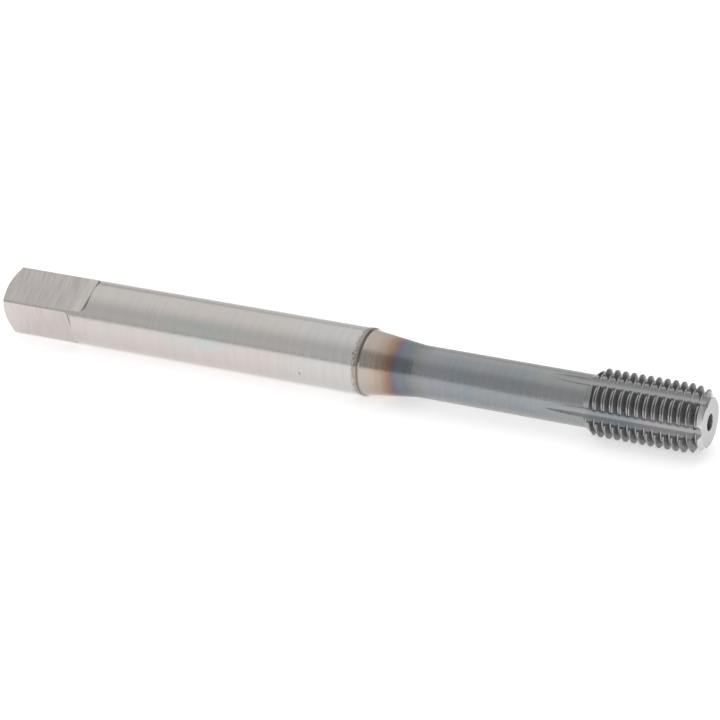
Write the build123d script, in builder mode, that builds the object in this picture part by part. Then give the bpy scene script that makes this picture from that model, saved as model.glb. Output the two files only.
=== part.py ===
from build123d import *
from math import ceil, radians, tan
import os

os.makedirs("parts", exist_ok=True)

# A thread forming tap: one bar of hardened steel, lying along X with its thread end towards +X.
# The axis is X, and the origin is the middle of the end face of the driving square.

# Driving dimensions, in millimetres and degrees
total_length = 90.0
shank_radius = 4.0
neck_radius = 3.08

# The ground shank stops at a narrow band of unground blank, and a cone leads down to the neck
shank_end = 47.6
rim_length = 0.7
rim_height = 0.05
rim_edge = 0.08
cone_radius = 3.86
cone_end = 54.7

# Driving square, its two pairs of flats milled to two lengths, and the shallow cone of its end
square_across = 5.9
square_angle = 26.8
long_flat = 11.0
short_flat = 9.0
flat_runout_radius = 1.05
drive_face_radius = 2.7
drive_chamfer = 0.56

# Thread, right-handed
pitch = 1.0
crest_radius = 4.05
root_radius = 3.42
root_flat = 0.15
flank_angle = 30.0
first_groove = 75.707
thread_start = 75.9
back_taper_angle = 35.0
lead_start = 87.7
bevel_start = 89.47
end_face_radius = 2.85
bevel_angle = 55.0

# Forming lobes: the section of the thread is five arcs, each with its centre off the axis, and the
# bottom of the thread follows each of them on an arc of its own
lobe_count = 5
lobe_offset = 2.0
lobe_angle = 3.5
root_offset = 1.82
root_arc_angle = 116.0

# Oil grooves between the lobes, which run out on the neck where the grinding wheel lifts
groove_bottom = 2.79
groove_radius = 0.92
groove_full_start = 75.6
wheel_radius = 40.0
wheel_sweep = 9.0

# Centre hole in the end face
centre_radius = 1.05
pilot_radius = 0.4
centre_depth = 2.4
centre_angle = 60

# Worked out from the dimensions above
lobe_radius = crest_radius - lobe_offset
lobe_step = 360 / lobe_count
groove_angle = lobe_angle + lobe_step / 2
bevel_radius = end_face_radius + (total_length - bevel_start) * tan(radians(bevel_angle))
clearance = 1.0
outside = crest_radius + clearance
back_taper_top = thread_start + (outside - neck_radius) / tan(radians(back_taper_angle))
lead_slope = (crest_radius - bevel_radius) / (bevel_start - lead_start)
lead_top = bevel_start - (outside - bevel_radius) / lead_slope
flank_spread = clearance * tan(radians(flank_angle))
root_arc_radius = root_radius - root_offset
root_arc_pitch = pitch * root_arc_radius / root_radius
root_arc_length = root_arc_pitch * root_arc_angle / 360
root_arc_start = -root_arc_length / 2
groove_turns = ceil((total_length - first_groove) / pitch)
rim_end = shank_end + rim_length
square_reach = square_across / 2

# One turn of the thread's groove on one lobe: a blunt V wound round a line near the lobe's own centre,
# so the bottom of the thread rises and falls with the lobe and a tooth has one height all the way
with BuildPart() as thread_groove:
    with BuildLine() as root_line:
        Helix(
            pitch=root_arc_pitch,
            height=root_arc_length,
            radius=root_arc_radius,
            center=(root_arc_start, 0, 0),
            direction=(1, 0, 0),
        )
    with BuildSketch(Plane.XZ):
        with BuildLine():
            Polyline(
                (root_arc_start - root_flat / 2, root_arc_radius),
                (root_arc_start - root_flat / 2 - flank_spread, root_arc_radius + clearance),
                (root_arc_start + root_flat / 2 + flank_spread, root_arc_radius + clearance),
                (root_arc_start + root_flat / 2, root_arc_radius),
                close=True,
            )
        make_face()
    sweep(path=root_line.line, is_frenet=True)

# The same groove for every turn on every lobe; in the lead it moves in by as much as the crest does
thread_grooves = []
for lobe in range(lobe_count):
    lobe_turn = lobe_angle + lobe * lobe_step
    for turn in range(groove_turns):
        along = first_groove + pitch * (turn + lobe_turn / 360)
        inward = max(0, along - lead_start) * lead_slope
        on_lobe = Pos(along, 0, 0) * Rot(lobe_turn - 90, 0, 0) * Pos(0, 0, root_offset - inward)
        thread_grooves.append(on_lobe * Rot(-root_arc_angle / 2, 0, 0) * thread_groove.part)

# The thread end: a lobed bar with the thread's grooves in it, then turned down at both ends
with BuildPart() as threaded_end:
    with BuildSketch(Plane.YZ.offset(thread_start - clearance)):
        with PolarLocations(lobe_offset, lobe_count, start_angle=lobe_angle):
            Circle(lobe_radius)
    extrude(amount=total_length - thread_start + clearance)
    add(thread_grooves, mode=Mode.SUBTRACT)
    with BuildSketch(Plane.XZ):
        with BuildLine():
            Polyline(
                (thread_start - clearance, 0),
                (thread_start - clearance, neck_radius - clearance * tan(radians(back_taper_angle))),
                (back_taper_top, outside),
                (lead_top, outside),
                (bevel_start, bevel_radius),
                (total_length, end_face_radius),
                (total_length, 0),
                close=True,
            )
        make_face()
    revolve(axis=Axis.X, mode=Mode.INTERSECT)

# A straight oil groove on top of the bar: a round-bottomed slot, and the arc where the wheel lifts out
with BuildPart() as oil_groove:
    with BuildSketch(Plane.YZ.offset(groove_full_start)) as groove_section:
        with Locations((0, groove_bottom + groove_radius)):
            Circle(groove_radius)
            Rectangle(2 * groove_radius, outside, align=(Align.CENTER, Align.MIN))
    extrude(groove_section.sketch, amount=total_length + clearance - groove_full_start)
    wheel_axle = Axis((groove_full_start, 0, groove_bottom + wheel_radius), (0, 1, 0))
    revolve(groove_section.sketch, axis=wheel_axle, revolution_arc=wheel_sweep)


def flat_cut(length):
    """Everything above one flat of the square, with the round run-out at its inner end."""
    with BuildPart() as cut:
        with BuildSketch(Plane.XZ):
            with BuildLine():
                bottom = Line((-clearance, square_reach), (length, square_reach))
                runout = RadiusArc(
                    bottom @ 1,
                    (length + flat_runout_radius, square_reach + flat_runout_radius),
                    -flat_runout_radius,
                )
                Polyline(
                    runout @ 1,
                    (length + flat_runout_radius, outside),
                    (-clearance, outside),
                    bottom @ 0,
                )
            make_face()
        extrude(amount=outside, both=True)
    return cut.part


with BuildPart() as thread_tap:
    with BuildSketch(Plane.XZ):
        with BuildLine():
            Polyline(
                (0, 0),
                (0, drive_face_radius),
                (drive_chamfer, shank_radius),
                (shank_end, shank_radius),
                (shank_end + rim_edge, shank_radius + rim_height),
                (rim_end - rim_edge, shank_radius + rim_height),
                (rim_end + rim_edge, cone_radius),
                (cone_end, neck_radius),
                (thread_start + clearance, neck_radius),
                (thread_start + clearance, 0),
                close=True,
            )
        make_face()
    revolve(axis=Axis.X)
    add(threaded_end.part)
    for lobe in range(lobe_count):
        groove_turn = groove_angle + lobe * lobe_step - 90
        add(oil_groove.part, rotation=(groove_turn, 0, 0), mode=Mode.SUBTRACT)
    for flat in range(4):
        flat_length = long_flat if flat % 2 == 0 else short_flat
        add(flat_cut(flat_length), rotation=(square_angle + 90 * flat, 0, 0), mode=Mode.SUBTRACT)
    with Locations(Plane((total_length, 0, 0), z_dir=(1, 0, 0))):
        CounterSinkHole(pilot_radius, centre_radius, depth=centre_depth, counter_sink_angle=centre_angle)

thread_tap.part.label = "thread_tap"
export_step(thread_tap.part, "parts/thread_tap.step")
print("volume", thread_tap.part.volume, "faces", len(thread_tap.part.faces()))
print("solids", len(thread_tap.part.solids()), "box", thread_tap.part.bounding_box())
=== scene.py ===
# %% [markdown]
# # A thread forming tap
#
# The object is one bar of hardened tool steel, 90 mm long and 8 mm thick. A square end takes the wrench,
# a ground shank takes the chuck, a cone leads down to a thinner neck, and the far end carries the thread.
# Its shape is finished in the CAD model, down to the turns of the thread, so no new pieces are modelled
# here. The lesson is about finish: how one bar is ground, milled, heated and oxidised along its length,
# and how each of those marks can be written as nodes.
# The CAD model comes in with smooth normals and one material slot, so all finishes share one material, and
# each is switched on by where a point lies on the bar.

# %% Load the frame
import bpy
from math import radians
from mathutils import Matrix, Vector


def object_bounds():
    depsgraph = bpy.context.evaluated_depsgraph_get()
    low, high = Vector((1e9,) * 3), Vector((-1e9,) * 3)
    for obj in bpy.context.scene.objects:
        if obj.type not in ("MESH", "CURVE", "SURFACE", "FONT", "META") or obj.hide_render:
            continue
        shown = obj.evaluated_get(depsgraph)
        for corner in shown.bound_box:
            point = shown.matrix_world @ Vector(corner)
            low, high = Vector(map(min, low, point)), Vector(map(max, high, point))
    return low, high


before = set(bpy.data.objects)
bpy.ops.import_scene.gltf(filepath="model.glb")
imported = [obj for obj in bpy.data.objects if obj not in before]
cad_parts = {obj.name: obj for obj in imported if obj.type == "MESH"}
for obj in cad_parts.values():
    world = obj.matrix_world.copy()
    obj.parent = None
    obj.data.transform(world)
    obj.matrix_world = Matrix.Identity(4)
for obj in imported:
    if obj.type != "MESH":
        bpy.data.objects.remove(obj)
cad_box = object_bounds()
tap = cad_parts["thread_tap"]
print("the tap has", len(tap.data.polygons), "faces and", len(tap.data.materials), "material slot")

# %% [markdown]
# ## Camera
#
# The camera looks down at the bar from the side of the thread end. Its place was worked out from the
# outline of the bar, whose length and thickness are known. A longer lens further away gives almost the same
# picture, so the place and the lens are found together: the square end looks thinner than the thread end
# by as much as the distance says.

# %% Camera
MM = 0.001
CAMERA_PLACE = Vector((194.13, -311.22, 139.69)) * MM
CAMERA_AIM = Vector((-0.3966, 0.8375, -0.3759))
LENS = 158.78
SENSOR = 36.0
NEAREST = 0.01

camera_data = bpy.data.cameras.new("camera")
camera_data.lens = LENS
camera_data.sensor_width = SENSOR
camera_data.clip_start = NEAREST
camera = bpy.data.objects.new("camera", camera_data)
bpy.context.scene.collection.objects.link(camera)
camera.location = CAMERA_PLACE
camera.rotation_euler = CAMERA_AIM.to_track_quat("-Z", "Y").to_euler()
bpy.context.scene.camera = camera
print("the camera is", round(CAMERA_PLACE.length, 3), "m from the middle of the square's end")

# %% [markdown]
# ## Floor
#
# The bar lies on a sheet of white paper on a light table, and touches it at the lowest point of the CAD
# box. Part of the paper's light comes from below, so the paper stays pale under the bar too, and the
# lower edge of the bar has something light to mirror. The plain view transform keeps white paper white,
# where a film-like one would turn it grey.

# %% Floor
FLOOR_SIZE = 4.0
WHITE = (1, 1, 1, 1)
PAPER_WHITE = (0.93, 0.93, 0.93, 1)
PAPER_ROUGH = 0.8
TABLE_LIGHT = 0.5
bpy.context.scene.view_settings.view_transform = "Standard"
bpy.ops.object.select_all(action="DESELECT")
bpy.ops.mesh.primitive_plane_add(size=FLOOR_SIZE, location=(0, 0, cad_box[0].z))
floor = bpy.context.object
floor.name = "floor"
paper = bpy.data.materials.new("white paper")
paper.use_nodes = True
paper_shader = paper.node_tree.nodes["Principled BSDF"]
paper_shader.inputs["Base Color"].default_value = PAPER_WHITE
paper_shader.inputs["Roughness"].default_value = PAPER_ROUGH
paper_shader.inputs["Emission Color"].default_value = WHITE
paper_shader.inputs["Emission Strength"].default_value = TABLE_LIGHT
floor.data.materials.append(paper)
print("the floor lies at", round(cad_box[0].z / MM, 2), "mm")

# %% [markdown]
# ## Key light
#
# A polished bar shows almost nothing of its own: what is seen in it is the room. It is a bent mirror, and
# each line along it reflects one height of the room, always on the left, because the camera looks from the
# right. A key light at the front right therefore whitens the paper without showing in the bar, and throws
# the shadow behind the bar, where the camera can't see it. It stands far off, so the paper is equally
# white from edge to edge.

# %% Key light
BAR_MIDDLE = Vector((0.045, 0, 0))
KEY_PLACE = Vector((1.6, -2.4, 1.55))
KEY_SIZE = 1.0
KEY_POWER = 19.0

key_data = bpy.data.lights.new("key light", "AREA")
key_data.shape = "SQUARE"
key_data.size = KEY_SIZE
key_data.energy = KEY_POWER
key = bpy.data.objects.new("key light", key_data)
bpy.context.scene.collection.objects.link(key)
key.location = KEY_PLACE
key.rotation_euler = (BAR_MIDDLE - KEY_PLACE).to_track_quat("-Z", "Y").to_euler()
print("the key light stands", round((KEY_PLACE - BAR_MIDDLE).length, 2), "m from the bar")

# %% [markdown]
# ## Helpers for nodes
#
# A finish is a sum: here is a number, there a ramp, then a mix of two colours. Written node by node it
# takes ten lines, so a few helpers come first. Each adds nodes to the tree at hand and returns an output,
# and so a finish reads as one line. The tree at hand is that of the room first, and then that of the steel.
# The nodes are laid out in rows, so that they can be looked at in the editor.

# %% Helpers for nodes
NODES_IN_A_ROW = 9
NODE_WIDTH = 220
NODE_HEIGHT = 240
tree = None


def node(kind, inputs=None, **settings):
    """Adds a node, with its settings, and with each input given as a number or taken from a socket."""
    new = tree.nodes.new(kind)
    row, column = divmod(len(tree.nodes), NODES_IN_A_ROW)
    new.location = (-NODE_WIDTH * (column + 2), -NODE_HEIGHT * row)
    for name, value in settings.items():
        setattr(new, name, value)
    for place, value in (inputs or {}).items():
        if isinstance(value, bpy.types.NodeSocket):
            tree.links.new(value, new.inputs[place])
        else:
            new.inputs[place].default_value = value
    return new


def calc(operation, *values):
    """One sum on numbers."""
    return node("ShaderNodeMath", dict(enumerate(values)), operation=operation).outputs[0]


# %% [markdown]
# Most masks are ramps: 0 up to one place, 1 from another place on, and smooth between them. A fall is the
# same the other way round, and two of them make a strip. A mask can then choose between two numbers.


# %% Helpers for masks
def ramp(value, low, high, first=0.0, last=1.0):
    """Goes smoothly from first to last as value goes from low to high, and stays flat outside."""
    inputs = {"Value": value, "From Min": low, "From Max": high, "To Min": first, "To Max": last}
    return node("ShaderNodeMapRange", inputs, interpolation_type="SMOOTHSTEP").outputs[0]


def fall(value, low, high):
    """Goes smoothly from 1 to 0 as value goes from low to high."""
    return ramp(value, low, high, first=1.0, last=0.0)


def between(value, low, high, soft):
    """1 where value is between low and high, 0 elsewhere, with soft edges."""
    return calc("MULTIPLY", ramp(value, low - soft, low + soft), fall(value, high - soft, high + soft))


def choose(mask, outside, inside):
    """The first number outside a mask, and the second inside it."""
    return ramp(mask, 0.0, 1.0, outside, inside)


# %% [markdown]
# ## The room
#
# The room is a sky that gets lighter from the wall behind the camera up to a soft ceiling at the back.
# Low down, the wall is darker, which draws the dull band along the middle of the bar. On the right the
# room is dark: of the whole tap only the flanks of the thread look that way, and they are meant to be dark.
# A sky knows only a direction, whose X, Y and Z go from -1 to 1. So each part of the room is a factor that
# is worked out from them, and the factors are multiplied at the end.

# %% The room
CEILING_TILT = (0.0, 0.5, 0.87)
ROOM = 0.66
CEILING = 0.90
SKIRTING = 0.87
DARK_SIDE = 0.45

world = bpy.data.worlds.new("studio")
bpy.context.scene.world = world
world.use_nodes = True
tree = world.node_tree
sky = node("ShaderNodeTexCoord").outputs["Generated"]
to_right, to_back, upwards = node("ShaderNodeSeparateXYZ", {0: sky}).outputs
tilt = node("ShaderNodeVectorMath", {0: sky, 1: CEILING_TILT}, operation="DOT_PRODUCT").outputs["Value"]
ceiling = ramp(tilt, 0.2, 0.9, ROOM, CEILING)
skirting = ramp(upwards, 0.1, 0.5, SKIRTING, 1.0)
dark_side = ramp(to_right, 0.0, 0.5, 1.0, DARK_SIDE)
print("the wall is", ROOM, "bright and the ceiling", CEILING)

# %% [markdown]
# Three smaller parts draw single lines on the bar. A gap at the back, between paper and ceiling, gives the
# thin grey line just below the bar's top edge. A faint glow on the wall in front keeps the dull band from
# going flat. The corner of that wall is darker, and only the cone looks that way, so the band is deepest
# there.

# %% Gap, glow and corner
GAP = 0.55
GAP_HEIGHT = (0.36, 0.52)
GLOW = 1.15
GLOW_HEIGHT = (0.2, 0.36)
CORNER = 0.62
CORNER_START = (-0.37, -0.22)
at_back = ramp(to_back, 0.3, 0.7)
in_front = fall(to_back, -0.6, -0.3)
gap = choose(calc("MULTIPLY", at_back, between(upwards, *GAP_HEIGHT, soft=0.08)), 1.0, GAP)
glow = choose(calc("MULTIPLY", in_front, between(upwards, *GLOW_HEIGHT, soft=0.12)), 1.0, GLOW)
corner = choose(calc("MULTIPLY", in_front, ramp(to_right, *CORNER_START)), 1.0, CORNER)
strength = ceiling
for factor in (skirting, dark_side, gap, glow, corner):
    strength = calc("MULTIPLY", strength, factor)
studio = tree.nodes["Background"]
studio.inputs["Color"].default_value = WHITE
tree.links.new(strength, studio.inputs["Strength"])
print("the room has", len(tree.nodes), "nodes")

# %% [markdown]
# ## Helpers for colour
#
# Colours need four more helpers. Blending lays one colour over another through a mask. Shading makes a
# colour lighter or darker. Grain is noise that is stretched along chosen axes: stretched round the bar
# it turns into grinding lines, and left even it turns into stains. Lining shades a colour by such noise.


# %% Helpers for colour
def blend(first, second, share):
    """A mix of two colours. Each is a socket or three numbers."""
    mix = node("ShaderNodeMix", {"Factor": share}, data_type="RGBA")
    colours = {"A": first, "B": second}
    for socket in mix.inputs:
        colour = colours.get(socket.name) if socket.enabled else None
        if isinstance(colour, bpy.types.NodeSocket):
            tree.links.new(colour, socket)
        elif colour:
            socket.default_value = (*colour, 1.0)
    return next(socket for socket in mix.outputs if socket.enabled)


def shade(colour, factor):
    """A colour made lighter or darker by a factor."""
    return node("ShaderNodeVectorMath", {0: colour, "Scale": factor}, operation="SCALE").outputs[0]


def grain(vector, stretch, detail=2.0):
    """Noise from 0 to 1, finer along an axis where the stretch is larger. Stretch is in grains per mm."""
    stretched = node("ShaderNodeVectorMath", {0: vector, 1: stretch}, operation="MULTIPLY").outputs[0]
    return node("ShaderNodeTexNoise", {"Vector": stretched, "Scale": 1.0, "Detail": detail}).outputs[0]


def line(colour, noise, depth, spread=0.15):
    """A colour that is darker by depth where the noise is low, and lighter by depth where it is high.

    Noise keeps near a half, so low and high are taken at spread below and above a half."""
    return shade(colour, ramp(noise, 0.5 - spread, 0.5 + spread, 1.0 - depth, 1.0 + depth))


# %% [markdown]
# ## Where on the bar
#
# Every mask below is made from four numbers: how far along the bar a point lies, how far from the axis, at
# what angle round it, and how steeply its surface faces one of the two ends. The first three come from the
# object's own coordinates, which are those of the CAD model, turned into millimetres.

# %% Where on the bar
steel = bpy.data.materials.new("tap steel")
steel.use_nodes = True
tree = steel.node_tree
shader = tree.nodes["Principled BSDF"]
own = node("ShaderNodeTexCoord")
mm = node("ShaderNodeVectorMath", {0: own.outputs["Object"], "Scale": 1 / MM}, operation="SCALE").outputs[0]
along, across_y, across_z = node("ShaderNodeSeparateXYZ", {0: mm}).outputs
radius_squared = calc("ADD", calc("MULTIPLY", across_y, across_y), calc("MULTIPLY", across_z, across_z))
radius = calc("SQRT", radius_squared)
angle = calc("ARCTAN2", across_z, across_y)
facing_end = node("ShaderNodeSeparateXYZ", {0: own.outputs["Normal"]}).outputs["X"]
slope = calc("ABSOLUTE", facing_end)
print("four numbers from", len(tree.nodes), "nodes")

# %% [markdown]
# The angle is in radians, and it jumps from pi to minus pi along one line of the bar. Two helpers get round
# that jump. The cosine of the angle from a chosen side picks that side. And where a thing is repeated round
# the bar, like a flat or a groove, the angle is wrapped to the nearest one, and its sine gives the width.


# %% Helpers for going round the bar
def on_side(direction):
    """1 on the side of the bar at this angle, 0 a quarter turn from it and -1 opposite to it."""
    return calc("COSINE", calc("SUBTRACT", angle, direction))


def sideways(direction, step):
    """The distance in mm from the middle of the nearest of several things a step apart round the bar."""
    from_nearest = calc("WRAP", calc("SUBTRACT", angle, direction), step / 2, -step / 2)
    return calc("MULTIPLY", radius, calc("SINE", from_nearest))


# %% [markdown]
# ## The ground shank
#
# The shank is ground between centres while it turns, so the wheel leaves fine lines round it, a tenth of a
# millimetre apart and barely deeper than a polish. Handling and the hardening salt leave faint clouds,
# some pinkish and some green, and one side of the shank is pinkish all along. Near the rim the shank is a
# little cooler. All of it stays weak: from a step away the shank is plain pale grey.
# The same fine lines roughen the whole bar, since the neck is ground in the same way.

# %% The ground shank
GROUND_PINK = (0.599, 0.561, 0.536)
GROUND_GREEN = (0.588, 0.571, 0.540)
GROUND_COOL = (0.580, 0.575, 0.570)
COOL_START = (37.0, 42.0)
PINK_SIDE = (0.604, 0.551, 0.533)
PINK_SIDE_ANGLE = radians(216)
FINE_SPREAD = 0.2
fine_lines = grain(mm, (7.0, 0.12, 0.12), detail=3.0)
broad_lines = grain(mm, (1.6, 0.06, 0.06), detail=2.0)
clouds = grain(mm, (0.13, 0.35, 0.35), detail=3.0)
ground = blend(GROUND_PINK, GROUND_GREEN, ramp(clouds, 0.44, 0.58))
ground = blend(ground, PINK_SIDE, ramp(on_side(PINK_SIDE_ANGLE), 0.45, 0.8, last=0.8))
ground = blend(ground, GROUND_COOL, ramp(along, *COOL_START, last=0.7))
ground = line(ground, fine_lines, depth=0.025, spread=FINE_SPREAD)
ground = line(ground, broad_lines, depth=0.015)
print("ground steel from", GROUND_PINK, "to", GROUND_GREEN)

# %% [markdown]
# One patch of the shank is stained greener, and one small nick sits near the rim, where the tap was
# knocked. A mask for such a mark is two ranges multiplied, one along the bar and one round it. The stain
# lies across the angle's jump, so it is placed by its side of the bar.

# %% A stain and a nick
STAIN_GREEN = (0.540, 0.572, 0.551)
STAIN_PLACE = (24.0, 31.0)
STAIN_ANGLE = radians(164)
NICK_DARK = (0.22, 0.20, 0.19)
NICK_PLACE = (40.62, 40.80)
NICK_ANGLES = (-2.84, -2.76)
blotches = grain(mm, (0.5, 0.9, 0.9), detail=4.0)
stain = calc("MULTIPLY", between(along, *STAIN_PLACE, soft=2.0), ramp(on_side(STAIN_ANGLE), 0.87, 0.97))
stain = calc("MULTIPLY", stain, ramp(blotches, 0.36, 0.56, first=0.2))
ground = blend(ground, STAIN_GREEN, stain)
nick = calc("MULTIPLY", between(along, *NICK_PLACE, soft=0.06), between(angle, *NICK_ANGLES, soft=0.02))
ground = blend(ground, NICK_DARK, calc("MULTIPLY", nick, 0.8))
print("the stain lies", STAIN_PLACE[0], "to", STAIN_PLACE[1], "mm from the square's end")

# %% [markdown]
# ## The milled square
#
# The flats are milled, not ground, and the edge of the cutter leaves lines across them, about a third of a
# millimetre apart. The cutter sweeps in a wide arc and leans a little, so the lines are bent and
# slanted, more on one pair of flats than on the other, which was cut in a second set-up.
# A point lies on a flat where it is nearer to the axis than the round shank is. The cosine of twice the
# angle tells the two pairs of flats apart.

# %% Where the flats are
SHANK_RADIUS = 4.0
FLAT_END = 12.2
LONG_FLAT_ANGLE = radians(116.8)
QUARTER = radians(90)
inside_shank = fall(radius, SHANK_RADIUS - 0.04, SHANK_RADIUS - 0.015)
on_flat = calc("MULTIPLY", inside_shank, fall(along, FLAT_END, FLAT_END + 0.1))
twice_round = calc("MULTIPLY", calc("SUBTRACT", angle, LONG_FLAT_ANGLE), 2.0)
long_pair = ramp(calc("COSINE", twice_round), -0.01, 0.01)
across_flat = sideways(LONG_FLAT_ANGLE, QUARTER)
print("the flats end", FLAT_END, "mm from the end")

# %% [markdown]
# The lines are noise again, but on slanted coordinates: the distance along the bar, less the lean and plus
# the bend of the arc. The other two coordinates keep the pairs apart, so that each has lines of its own.

# %% Milling lines
LEAN_LONG = 0.185
LEAN_SHORT = -0.07
BEND = 0.02
DEPTH_LONG = 0.18
DEPTH_SHORT = 0.09
FLAT_LONG = (0.505, 0.472, 0.452)
FLAT_SHORT = (0.60, 0.548, 0.532)
lean = choose(long_pair, LEAN_SHORT, LEAN_LONG)
slanted = calc("SUBTRACT", along, calc("MULTIPLY", lean, across_flat))
arc_place = calc("ADD", slanted, calc("MULTIPLY", BEND, calc("MULTIPLY", across_flat, across_flat)))
mill_place = node("ShaderNodeCombineXYZ", {"X": arc_place, "Y": across_flat, "Z": long_pair}).outputs[0]
mill_lines = ramp(grain(mill_place, (3.4, 0.25, 3.0), detail=3.0), 0.3, 0.7, first=-0.5, last=0.5)
mill_depth = calc("MULTIPLY", mill_lines, choose(long_pair, DEPTH_SHORT, DEPTH_LONG))
flat = shade(blend(FLAT_SHORT, FLAT_LONG, long_pair), calc("ADD", 1.0, mill_depth))
print("milling lines lean by", LEAN_LONG, "and", LEAN_SHORT, "mm for each mm across")

# %% [markdown]
# Where the cutter lifted out, the flat ends in a short steep wall, which gets a painted shade of near
# black.
# On the long flats the last millimetre before the wall gets a painted highlight, a little lighter.

# %% Where the cutter lifted out
WALL_PAINTED_SHADE = (0.13, 0.12, 0.115)
WALLS_FROM = 5.0
HIGHLIGHT_STRIP = (9.95, 11.1)
PAINTED_HIGHLIGHT = 1.13
# Painted highlight: the last millimetre of the long flats is painted lighter.
highlighted = calc("MULTIPLY", between(along, *HIGHLIGHT_STRIP, soft=0.12), long_pair)
flat = shade(flat, choose(highlighted, 1.0, PAINTED_HIGHLIGHT))
# Painted shade: the steep wall at each flat's end is painted near black.
wall = calc("MULTIPLY", ramp(slope, 0.2, 0.42), ramp(along, WALLS_FROM, WALLS_FROM + 1.0))
flat = blend(flat, WALL_PAINTED_SHADE, wall)
colour = blend(ground, flat, on_flat)
print("the rubbed strip lies", HIGHLIGHT_STRIP[0], "to", HIGHLIGHT_STRIP[1], "mm from the end")

# %% [markdown]
# ## Temper colours on the cone
#
# Steel that is heated in air grows a skin of oxide, and the thickness of the skin gives the colour: straw,
# then brown, purple and blue, and at last a dull blue-grey. The neck was heated and the chuck kept the
# shank cool, so the cone shows the whole row in 8 mm. The row is written down first, as the place where
# each colour is purest, in mm from the square's end, and the colour itself.

# %% The row of temper colours
NECK_GREY = (0.305, 0.317, 0.329)
TEMPER = [
    (48.6, (0.490, 0.445, 0.405)),
    (49.9, (0.490, 0.408, 0.352)),
    (50.9, (0.435, 0.340, 0.275)),
    (51.5, (0.365, 0.250, 0.170)),
    (52.1, (0.290, 0.185, 0.160)),
    (52.5, (0.215, 0.170, 0.205)),
    (53.0, (0.190, 0.210, 0.260)),
    (54.0, (0.205, 0.232, 0.252)),
    (55.0, (0.275, 0.275, 0.277)),
    (56.5, NECK_GREY),
]
print("the row has", len(TEMPER), "colours")

# %% [markdown]
# Each colour is then one stop of a colour ramp that reads the place along the bar. Noise bends the line a
# little, because heat never stops on a straight line.

# %% Temper colours
TEMPER_START = 48.0
TEMPER_END = 57.0
OXIDE_DEPTH = 0.035
ragged = calc("SUBTRACT", grain(mm, (0.7, 0.9, 0.9), detail=4.0), 0.5)
heat_place = calc("ADD", along, ragged)
heat_range = {"Value": heat_place, "From Min": TEMPER_START, "From Max": TEMPER_END}
heat_share = node("ShaderNodeMapRange", heat_range).outputs[0]
temper = node("ShaderNodeValToRGB", {"Fac": heat_share})
stops = temper.color_ramp.elements
while len(stops) < len(TEMPER):
    stops.new(0.5)
for stop, (place, tint) in zip(stops, TEMPER):
    stop.position = (place - TEMPER_START) / (TEMPER_END - TEMPER_START)
    stop.color = (*tint, 1.0)
oxide = line(temper.outputs["Color"], fine_lines, depth=OXIDE_DEPTH, spread=FINE_SPREAD)
colour = blend(colour, oxide, ramp(along, TEMPER_START + 0.2, TEMPER_START + 0.4))
print(len(stops), "stops from", TEMPER_START, "to", TEMPER_END, "mm")

# %% [markdown]
# ## The neck
#
# The neck has an oxide skin all along, grey with a breath of blue and, close to the cone, a breath of
# purple. The skin is thickest, and darkest, on the side that faced the heat. The other side is a lighter,
# plain grey, and towards the thread the whole neck gets plainer. The grinding lines show more than the
# shank's, because the skin is darker in their bottoms.

# %% The neck
NECK_BLUE = (0.280, 0.312, 0.338)
NECK_PURPLE = (0.325, 0.312, 0.350)
PURPLE_PLACE = (56.0, 59.0)
NECK_PLAIN = (0.360, 0.363, 0.361)
PLAIN_START = (66.0, 74.0)
NECK_HEATED_ANGLE = radians(161)
NECK_START = (55.5, 57.0)
neck = blend(NECK_GREY, NECK_BLUE, ramp(grain(mm, (0.22, 0.2, 0.2)), 0.42, 0.6))
neck = blend(neck, NECK_PURPLE, calc("MULTIPLY", between(along, *PURPLE_PLACE, soft=1.2), 0.6))
neck = blend(neck, NECK_PLAIN, fall(on_side(NECK_HEATED_ANGLE), 0.45, 0.75))
neck = blend(neck, NECK_PLAIN, ramp(along, *PLAIN_START, last=0.6))
neck = line(neck, fine_lines, depth=OXIDE_DEPTH, spread=FINE_SPREAD)
neck = line(neck, broad_lines, depth=0.02)
colour = blend(colour, neck, ramp(along, *NECK_START))
print("the neck goes from", NECK_GREY, "to", NECK_BLUE)

# %% [markdown]
# ## The rim
#
# Between shank and cone stands a rim a twentieth of a millimetre high, left where the grinding wheel
# stopped. It still has its brown scale. On the shank's side the wheel has broken the scale into specks, and
# on the cone's side a dark line of burnt oil sits in the corner.
# The specks are fine noise that is cut off hard, and the cut-off moves along the rim, so they thin out
# towards the shank.

# %% The rim
RIM_BROWN = (0.25, 0.205, 0.165)
RIM_DARK = (0.13, 0.095, 0.07)
SCALE_START = 47.15
SCALE_FULL = 47.95
SCALE_END = 48.28
BURNT_PLACE = (48.08, 48.24)
specks = grain(mm, (4.0, 5.0, 5.0), detail=3.0)
cut_off = calc("MULTIPLY", ramp(specks, 0.3, 0.7), 0.85)
scale_edge = calc("SUBTRACT", ramp(along, SCALE_START, SCALE_FULL), cut_off)
scale = calc("MULTIPLY", ramp(scale_edge, -0.05, 0.2), fall(along, SCALE_END, SCALE_END + 0.1))
scale_brown = shade(RIM_BROWN, ramp(specks, 0.35, 0.65, 0.8, 1.5))
colour = blend(colour, scale_brown, calc("MULTIPLY", scale, 0.7))
burnt = calc("MULTIPLY", between(along, *BURNT_PLACE, soft=0.06), ramp(specks, 0.3, 0.6, 0.45, 0.9))
colour = blend(colour, RIM_DARK, burnt)
print("the rim's scale thins out from", SCALE_FULL, "to", SCALE_START, "mm")
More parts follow.
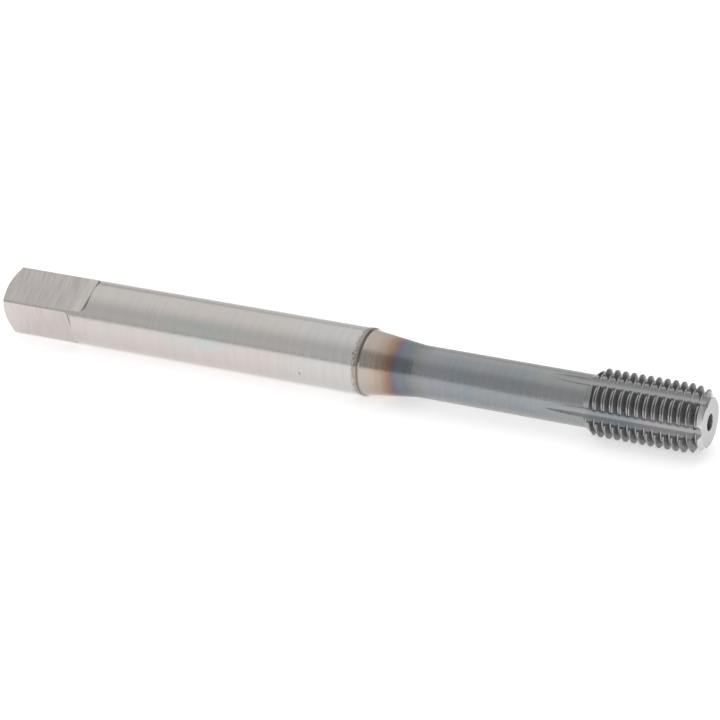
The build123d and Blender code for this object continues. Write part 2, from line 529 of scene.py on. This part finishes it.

# %% [markdown]
# ## The thread
#
# The thread is ground last, after hardening. Its flanks are made matt and painted dark, which is painted
# shade for the shade and dark reflections between the teeth, so crests and bottoms keep a lighter grey.
# Flanks are found by their slope: they face the ends far more than anything else there does. The oil
# grooves were ground before and keep the grey of the neck, with some blue and purple from heat at their
# start, so the flanks' painted shade is kept out of them.
# A point lies in a groove when its distance from the groove's middle plane is smaller than the
# groove's half width.

# %% The thread
THREAD_GREY = (0.37, 0.37, 0.372)
THREAD_START = (75.5, 76.1)
FLANK_PAINTED_SHADE = (0.25, 0.25, 0.252)
FLANKS_PLACE = (75.8, 89.9)
FLANKS_INNER = 2.9
GROOVE_HALF_WIDTH = 0.92
GROOVE_ANGLE = radians(39.5)
LOBE_STEP = radians(72)
colour = blend(colour, THREAD_GREY, ramp(along, *THREAD_START))
beside_groove = calc("ABSOLUTE", sideways(GROOVE_ANGLE, LOBE_STEP))
in_groove = fall(beside_groove, GROOVE_HALF_WIDTH - 0.04, GROOVE_HALF_WIDTH - 0.01)
flank = calc("MULTIPLY", ramp(slope, 0.55, 0.75), between(along, *FLANKS_PLACE, soft=0.05))
flank = calc("MULTIPLY", flank, ramp(radius, FLANKS_INNER, FLANKS_INNER + 0.1))
flank = calc("MULTIPLY", flank, calc("SUBTRACT", 1.0, in_groove))
# Painted shade: the flanks are painted darker than crests and bottoms, for the shade between the teeth.
flank_shade = shade(FLANK_PAINTED_SHADE, ramp(specks, 0.3, 0.7, 0.8, 1.25))
colour = blend(colour, flank_shade, flank)
print("flanks are", FLANK_PAINTED_SHADE[0], "and the rest of the thread", THREAD_GREY[0])

# %% [markdown]
# In the grooves the heat colours fade out towards the tip: first a blue-green, then a trace of purple. They
# are strong only on the heated side, which lies a little lower here than on the neck.

# %% Heat in the oil grooves
GROOVE_TEAL = (0.272, 0.298, 0.315)
TEAL_PLACE = (76.0, 82.5)
GROOVE_PURPLE = (0.36, 0.34, 0.38)
GROOVE_PURPLE_PLACE = (82.8, 84.4)
GROOVE_HEATED_ANGLE = radians(183.5)
GROOVE_START = (75.5, 76.5)
heated = ramp(on_side(GROOVE_HEATED_ANGLE), 0.4, 0.9, first=0.15)
teal = calc("MULTIPLY", between(along, *TEAL_PLACE, soft=1.5), heated)
purple = calc("MULTIPLY", between(along, *GROOVE_PURPLE_PLACE, soft=0.6), calc("MULTIPLY", heated, 0.8))
groove_colour = blend(blend(THREAD_GREY, GROOVE_TEAL, teal), GROOVE_PURPLE, purple)
groove_colour = line(groove_colour, fine_lines, depth=0.04, spread=FINE_SPREAD)
colour = blend(colour, groove_colour, calc("MULTIPLY", in_groove, ramp(along, *GROOVE_START)))
print("the grooves go from", GROOVE_TEAL, "to", THREAD_GREY)

# %% [markdown]
# ## The tip
#
# The end face is turned, which leaves fine circles on it, and it is lighter than the thread. The bevel
# between the two is ground, and brighter still. The circles are noise that reads only the distance from
# the axis.

# %% The tip
FACE_GREY = (0.455, 0.455, 0.455)
BEVEL_GREY = (0.64, 0.64, 0.64)
BEVEL_START = 89.47
on_bevel = ramp(along, BEVEL_START - 0.02, BEVEL_START + 0.02)
colour = blend(colour, BEVEL_GREY, calc("MULTIPLY", ramp(facing_end, 0.75, 0.8), on_bevel))
ring_place = node("ShaderNodeCombineXYZ", {"X": radius}).outputs[0]
circles = node("ShaderNodeTexNoise", {"Vector": ring_place, "Scale": 9.0}).outputs[0]
face_grey = line(FACE_GREY, circles, depth=0.05)
print("the bevel starts", BEVEL_START, "mm from the square's end")

# %% [markdown]
# The centre hole stays dark: light that goes in seldom comes out, and the oil of the last job sits in it.
# Its mouth has a thin bright ring where the centre has polished it.

# %% The centre hole
RING_GREY = (0.62, 0.60, 0.58)
HOLE_DARK = (0.105, 0.098, 0.093)
HOLE_RADIUS = 1.05
HOLE_FROM = 87.0
face_grey = blend(face_grey, RING_GREY, between(radius, HOLE_RADIUS, HOLE_RADIUS + 0.10, soft=0.04))
colour = blend(colour, face_grey, ramp(facing_end, 0.9, 0.97))
near_axis = fall(radius, HOLE_RADIUS - 0.1, HOLE_RADIUS - 0.02)
in_hole = calc("MULTIPLY", near_axis, ramp(along, HOLE_FROM, HOLE_FROM + 0.2))
colour = blend(colour, HOLE_DARK, in_hole)
print("the hole's mouth has a radius of", HOLE_RADIUS, "mm")

# %% [markdown]
# ## The drive end
#
# The other end face and the short cone round it are turned before the square is milled, so they keep the
# fine circles and one colour all over. They are found by their slope, as the only thing near this end
# that looks straight away from the thread.

# %% The drive end
DRIVE_GREY = (0.560, 0.540, 0.525)
DRIVE_END = 1.0
facing_away = fall(facing_end, -0.85, -0.75)
drive_face = calc("MULTIPLY", facing_away, fall(along, DRIVE_END, DRIVE_END + 0.2))
colour = blend(colour, line(DRIVE_GREY, circles, depth=0.04), drive_face)
print("the drive end is", DRIVE_GREY)

# %% [markdown]
# ## Shader
#
# Bare and oxidised steel are both metal, so the colour goes into a metallic shader. The fine lines make the
# finish rougher where they are dense, and a weak bump from the same lines spreads the mirrored room along
# the bar. The neck and the thread are a little duller than the shank, and the flanks and the
# oily centre hole are matt.

# %% Shader
SMOOTH = 0.20
DULL = 0.25
DULLER_PLACE = (49.0, 55.0)
FLANK_ROUGH = 0.42
HOLE_ROUGH = 0.6
BUMP = 0.12
BUMP_DEPTH = 0.02 * MM
rough = ramp(along, *DULLER_PLACE, SMOOTH, DULL)
rough = calc("ADD", rough, ramp(fine_lines, 0.3, 0.7, -0.04, 0.06))
rough = calc("ADD", rough, calc("MULTIPLY", flank, FLANK_ROUGH - DULL))
rough = calc("ADD", rough, calc("MULTIPLY", in_hole, HOLE_ROUGH - DULL))
shader.inputs["Metallic"].default_value = 1.0
tree.links.new(colour, shader.inputs["Base Color"])
tree.links.new(rough, shader.inputs["Roughness"])
bump = node("ShaderNodeBump", {"Height": fine_lines, "Strength": BUMP, "Distance": BUMP_DEPTH})
tree.links.new(bump.outputs[0], shader.inputs["Normal"])
tap.data.materials[0] = steel
print("the steel has", len(tree.nodes), "nodes")

# %% [markdown]
# ## The end
#


print("the scene is set up")
